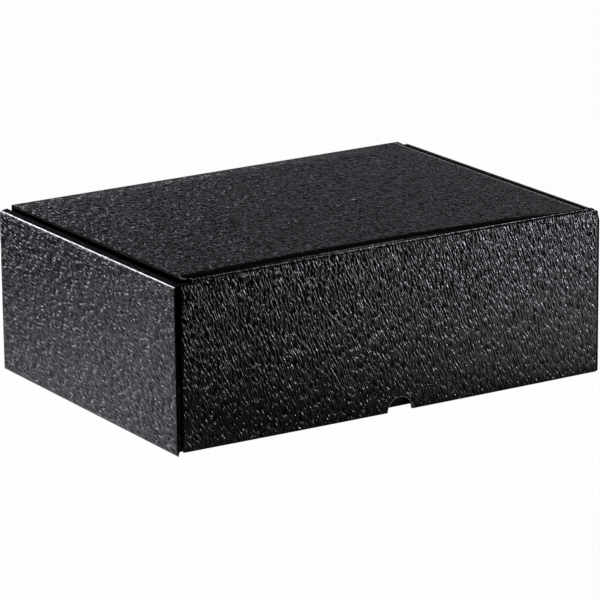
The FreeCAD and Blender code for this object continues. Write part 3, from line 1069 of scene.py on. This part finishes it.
def leather_material():
    """Black embossed face paper with a semi-gloss coat, pale where rubbing opens the fibres along the
    creases, with pale painted highlights, black painted shade without shine along some creases and rims, and
    painted shade in the grain's valleys.
    """
    material, tree, shader = new_material("leather_grain_paper")
    flat = attribute_node(tree, "flat", "Vector")
    strength = attribute_node(tree, "emboss")
    # The rubbing values, with painted shade below zero and painted highlights among them.
    rub = attribute_node(tree, "wear_and_painted_light")
    grain = grain_height(tree, flat)
    height = times(tree, grain, math_node(tree, "MAXIMUM", strength, LEAST_GRAIN))
    fibre = noise_node(tree, flat, FIBRE_SIZE, detail=3.0, roughness=0.6)
    cloud = noise_node(tree, flat, CLOUD_SIZE, detail=3.0)
    speck = noise_node(tree, flat, SPECK_SIZE, detail=4.0, roughness=0.7)
    dark = mix_color(tree, cloud, INK_DARK, INK_LIGHT)
    # Painted shade: the grain's valleys get a darker ink.
    ink = mix_color(tree, ramp_node(tree, grain, 0.1, 0.9), INK_VALLEY_SHADE, dark)
    # Pale where rubbing shows the fibres, and where highlights are painted.
    worn_and_painted_highlight = ramp_node(tree, math_node(tree, "MULTIPLY_ADD", speck, SPECK_SHARE, rub), WORN_FROM, WORN_TO)
    # Painted shade: below zero the ink turns near-black and the shine is taken away.
    clear_of_painted_shade = ramp_node(tree, rub, -1.0, 0.0, curve="LINEAR")
    ink = mix_color(tree, clear_of_painted_shade, INK_PAINTED_SHADE, ink)
    colour = mix_color(tree, worn_and_painted_highlight, ink, BARE_FIBRES_AND_PAINTED_HIGHLIGHT)
    rough = math_node(tree, "MULTIPLY_ADD", fibre, FIBRE_ROUGHNESS, COAT_ROUGHNESS)
    rough = math_node(tree, "MULTIPLY_ADD", ramp_node(tree, grain, 0.0, 1.0), RIDGE_POLISH, rough)
    rough = math_node(tree, "MULTIPLY_ADD", worn_and_painted_highlight, WORN_ROUGHNESS, rough)
    # Painted shade: the valleys of the grain lose most of their shine.
    valley_shade = ramp_node(tree, grain, 0.1, 0.75, VALLEY_SHINE, RIDGE_SHINE)
    shine = times(tree, valley_shade, clear_of_painted_shade)
    relief = bump_node(tree, fibre, FIBRE_BUMP, bump_node(tree, height, GRAIN_BUMP))
    dress(tree, shader, colour, rough, shine, relief)
    return material


WAVE_LENGTH = 0.314  # of the wave texture at scale 1
LINER_BUMP, LINER_SHINE = 0.03 * MM, 0.35
LINER_DARK, LINER_LIGHT, LINER_FIBRES = (0.011, 0.011, 0.012), (0.018, 0.017, 0.018), (0.034, 0.033, 0.033)


def lining_material():
    """Black-dyed uncoated liner with short pressed fibres and a faint wash of the flutes."""
    material, tree, shader = new_material("black_liner")
    flat = attribute_node(tree, "flat", "Vector")
    stretched = vector_node(tree, "MULTIPLY", flat, (1, 0.35, 1))
    fibre = noise_node(tree, stretched, 0.5 * MM, detail=4.0, roughness=0.65)
    cloud = noise_node(tree, flat, 25 * MM, detail=3.0)
    flute = add_node(tree, "ShaderNodeTexWave", flat)
    flute.inputs["Scale"].default_value = WAVE_LENGTH / FLUTE_PITCH
    flute.inputs["Distortion"].default_value = 0.4
    dark = mix_color(tree, cloud, LINER_DARK, LINER_LIGHT)
    colour = mix_color(tree, ramp_node(tree, fibre, 0.45, 0.8), dark, LINER_FIBRES)
    rough = math_node(tree, "MULTIPLY_ADD", fibre, 0.2, 0.66)
    wash = bump_node(tree, flute.outputs["Fac"], LINER_BUMP)
    dress(tree, shader, colour, rough, LINER_SHINE, bump_node(tree, fibre, LINER_BUMP, wash))
    return material


CUT_FIBRE_SIZE, CUT_BUMP, CUT_SHINE = 0.45 * MM, 0.05 * MM, 0.1


def cut_material(name, dark, pale, share):
    """Cut edge of board: dark fibres, with pale ends showing through where the noise passes the share."""
    material, tree, shader = new_material(name)
    place = add_node(tree, "ShaderNodeTexCoord").outputs["Object"]
    fibre = noise_node(tree, place, CUT_FIBRE_SIZE, detail=4.0, roughness=0.7)
    colour = mix_color(tree, ramp_node(tree, fibre, share - 0.12, share + 0.12), dark, pale)
    rough = math_node(tree, "MULTIPLY_ADD", fibre, 0.2, 0.7)
    dress(tree, shader, colour, rough, CUT_SHINE, bump_node(tree, fibre, CUT_BUMP))
    return material


leather = leather_material()
lining = lining_material()
cut_paper = cut_material("cut_paper", (0.003, 0.003, 0.003), (0.025, 0.024, 0.024), 0.62)
cut_core = cut_material("cut_core", (0.002, 0.002, 0.002), (0.010, 0.010, 0.010), 0.5)
emboss_group = make_emboss_group()

# ---- assembly

BOARDS = (
    (base_board, (), "tray", ("base",)),
    (side_board, (-1,), "tray", ("left_outer_wall", "left_rim", "left_inner_wall")),
    (side_board, (1,), "tray", ("right_outer_wall", "right_rim", "right_inner_wall")),
    (front_wall_board, (), "tray", ("front_wall", "left_front_tab", "right_front_tab")),
    (back_wall_board, (), "tray", ("back_wall", "left_back_tab", "right_back_tab")),
    (lid_board, (), "lid", ("lid",)),
    (flap_board, (), "flap", ("front_flap", "left_flap_ear", "right_flap_ear")),
)
for build, inputs, body, panels in BOARDS:
    board = build(*inputs)
    emboss_board(board)
    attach(board, body)
    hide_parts(*nodes_of(*panels))
for build in (back_crease, flap_crease):
    build()

# ---- floor, light and camera

# What the box sees of the floor: a painted pool of light beside its left wall and a painted band in front,
# dim on the left and light on the right, with a painted glow near the box's front.
FLOOR_HALF, FLOOR_DROP, FLOOR_WHITE = 9.0, 0.05 * MM, 0.98
POOL_CENTRE = (-0.20, -0.03, 0)
POOL_NEAR, POOL_FAR = 0.04, 0.34
FLOOR_BRIGHT, FLOOR_DIM = 0.95, 0.08
SHADE_LINE, LIGHT_LINE = -0.150, -0.10
FRONT_FROM, FRONT_TO = -0.08, 0.30
FRONT_DIM, FRONT_BRIGHT, FRONT_FAR = 0.06, 0.68, 0.35
GLOW_FAR, GLOW_NEAR = -0.40, -0.20
FLOOR_GLOW = 0.75


def shown_to_camera(tree, seen, unseen, share=1.0):
    """A shader for the camera's own rays, over another for all other light."""
    camera_ray = add_node(tree, "ShaderNodeLightPath").outputs["Is Camera Ray"]
    mix = add_node(tree, "ShaderNodeMixShader", times(tree, camera_ray, share), unseen, seen)
    return mix.outputs[0]


def floor_material():
    material = bpy.data.materials.new("pale_floor")
    material.use_nodes = True
    tree = material.node_tree
    tree.nodes.clear()
    place = add_node(tree, "ShaderNodeNewGeometry").outputs["Position"]
    x, y, _ = add_node(tree, "ShaderNodeSeparateXYZ", place).outputs
    away = vector_node(tree, "DISTANCE", place, POOL_CENTRE).node.outputs["Value"]
    pool = ramp_node(tree, away, POOL_NEAR, POOL_FAR, FLOOR_BRIGHT, FLOOR_DIM)
    near = ramp_node(tree, y, GLOW_FAR, GLOW_NEAR, FRONT_FAR, 1.0)
    rightwards = ramp_node(tree, x, FRONT_FROM, FRONT_TO, FRONT_DIM, FRONT_BRIGHT)
    band = times(tree, rightwards, near)
    ahead = ramp_node(tree, y, SHADE_LINE, LIGHT_LINE, 1.0, 0.0)
    beside = times(tree, pool, math_node(tree, "SUBTRACT", 1.0, ahead))
    shade = math_node(tree, "MULTIPLY_ADD", band, ahead, beside)
    close = ramp_node(tree, y, GLOW_FAR, GLOW_NEAR, 0.0, FLOOR_GLOW)
    # Painted glow: the front band shines near the box although no lamp is there.
    glow = add_node(tree, "ShaderNodeEmission")
    strength = times(tree, times(tree, band, ahead), close)
    link(tree, strength, glow.inputs["Strength"])
    bounce = add_node(tree, "ShaderNodeBsdfDiffuse", shade)
    unseen = add_node(tree, "ShaderNodeAddShader", bounce.outputs[0], glow.outputs[0])
    white = add_node(tree, "ShaderNodeEmission")
    surface = shown_to_camera(tree, white.outputs[0], unseen.outputs[0], FLOOR_WHITE)
    add_node(tree, "ShaderNodeOutputMaterial", surface)
    return material


def make_floor():
    """A table that looks white, but whose bounce and reflection have painted light and dark areas and a
    painted glow.
    """
    half = FLOOR_HALF
    mesh = bpy.data.meshes.new("floor")
    corners = [(-half, -half, 0), (half, -half, 0), (half, half, 0), (-half, half, 0)]
    mesh.from_pydata(corners, [], [(0, 1, 2, 3)])
    mesh.materials.append(floor_material())
    floor = new_object("floor", mesh)
    floor.location.z = -FLOOR_DROP


FILL_DIM, FILL_BACK = 0.02, 0.015
FILL_COLOUR, WHITE = (1, 0.98, 1.07, 1), (1, 1, 1, 1)


def make_world():
    """A white backdrop to look at, over a dim studio whose fill light comes from low at the back."""
    world = bpy.data.worlds.new("studio")
    world.use_nodes = True
    tree = world.node_tree
    tree.nodes.clear()
    way = add_node(tree, "ShaderNodeTexCoord").outputs["Generated"]
    _, y, z = add_node(tree, "ShaderNodeSeparateXYZ", way).outputs
    back = ramp_node(tree, y, -0.1, 0.9)
    low_back = times(tree, back, ramp_node(tree, z, 0.25, 0.6, 1.0, 0.0))
    strength = math_node(tree, "MULTIPLY_ADD", low_back, FILL_BACK, FILL_DIM)
    fill = add_node(tree, "ShaderNodeBackground", FILL_COLOUR, strength)
    backdrop = add_node(tree, "ShaderNodeBackground", WHITE)
    surface = shown_to_camera(tree, backdrop.outputs[0], fill.outputs[0])
    add_node(tree, "ShaderNodeOutputWorld", surface)
    bpy.context.scene.world = world


LAMP_COLOUR = (0.92, 0.915, 1.0)
LAMP_TARGET = Vector((0, 0, 0.06))

# Name, place, size and watts of each softbox.
SOFTBOXES = (
    ("back_left_softbox", (-0.8, 2.1, 1.3), (1.4, 0.9), 60),
    ("left_softbox", (-1.4, 0.4, 2.0), (0.9, 0.9), 24),
    ("right_softbox", (0.56, -0.38, 0.055), (0.12, 0.09), 0.85),
    ("top_right_softbox", (1.15, -0.75, 1.75), (0.5, 0.35), 9),
    ("back_softbox", (-1.1, 1.90, 0.34), (1.3, 0.45), 17),
    ("low_back_softbox", (0.40, 0.66, 0.155), (1.2, 0.10), 0.14),
)


def make_softbox(name, place, size, power):
    lamp = bpy.data.lights.new(name, "AREA")
    lamp.shape = "RECTANGLE"
    lamp.size, lamp.size_y = size
    lamp.energy = power
    lamp.color = LAMP_COLOUR
    softbox = new_object(name, lamp)
    softbox.location = place
    softbox.rotation_mode = "QUATERNION"
    softbox.rotation_quaternion = (LAMP_TARGET - Vector(place)).to_track_quat("-Z", "Y")
    softbox.visible_camera = False


VIEW_AZIMUTH = math.radians(-32.226)
VIEW_ELEVATION = math.radians(16.084)
VIEW_ROLL = math.radians(-0.608)
VIEW_DISTANCE = 2.666
VIEW_TARGET = Vector((0.0008, 0.0005, 0.0488))
VIEW_LENS, VIEW_SENSOR = 237.2, 36


def make_camera():
    """A camera at the photo's viewing angle."""
    camera = bpy.data.cameras.new("camera")
    camera.lens = VIEW_LENS
    camera.sensor_width = VIEW_SENSOR
    camera.clip_start, camera.clip_end = 0.05, 40
    viewer = new_object("camera", camera)
    level = math.cos(VIEW_ELEVATION)
    back = Vector((math.sin(VIEW_AZIMUTH) * level, -math.cos(VIEW_AZIMUTH) * level, math.sin(VIEW_ELEVATION)))
    viewer.location = VIEW_TARGET + back * VIEW_DISTANCE
    viewer.rotation_mode = "QUATERNION"
    aim = (-back).to_track_quat("-Z", "Y")
    viewer.rotation_quaternion = aim @ Quaternion((0, 0, 1), VIEW_ROLL)
    bpy.context.scene.camera = viewer


make_floor()
make_world()
for softbox in SOFTBOXES:
    make_softbox(*softbox)
make_camera()
bpy.context.scene.view_settings.view_transform = "Standard"
